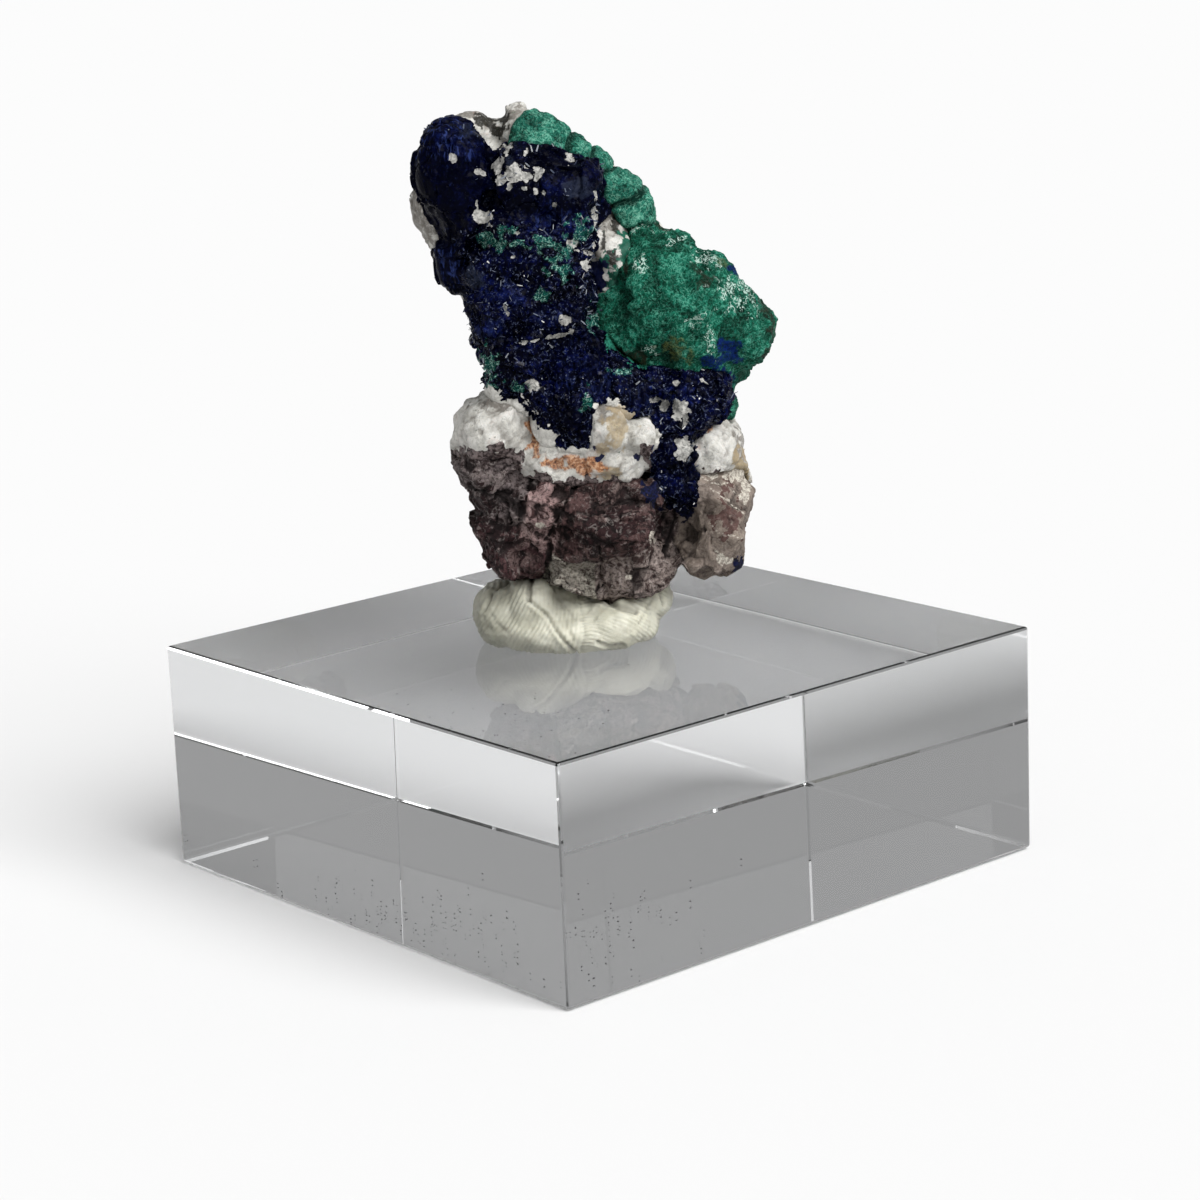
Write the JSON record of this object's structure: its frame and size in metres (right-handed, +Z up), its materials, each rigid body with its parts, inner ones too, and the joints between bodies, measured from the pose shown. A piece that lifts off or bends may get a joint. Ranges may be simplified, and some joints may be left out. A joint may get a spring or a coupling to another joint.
{
  "type": "azurite and malachite specimen",
  "caption": "Azurite and malachite on quartz and brown rock, pressed into mineral tack on a clear square display block.",
  "frame": {"origin": "middle of the block's underside", "axes": "+Z up, X and Y along the block's sides; the azurite faces the corner at -X -Y"},
  "size_m": [0.0508, 0.0508, 0.0636],
  "materials": {
    "clear_acrylic": "polished clear acrylic",
    "mineral_tack": "kneaded off-white putty",
    "host_rock": "rough broken rock",
    "white_quartz": "sugary crystalline",
    "azurite": "dark blue bladed crystals",
    "malachite": "velvety fibrous",
    "pale_malachite": "paler velvety"
  },
  "bodies": {
    "root": {"acrylic_block": "clear_acrylic", "mineral_tack": "mineral_tack", "host_rock": "host_rock", "white_quartz": "white_quartz", "azurite_crystals": "azurite", "malachite_lobe": "malachite", "malachite_nodules": "pale_malachite"}
  },
  "joints": []
}
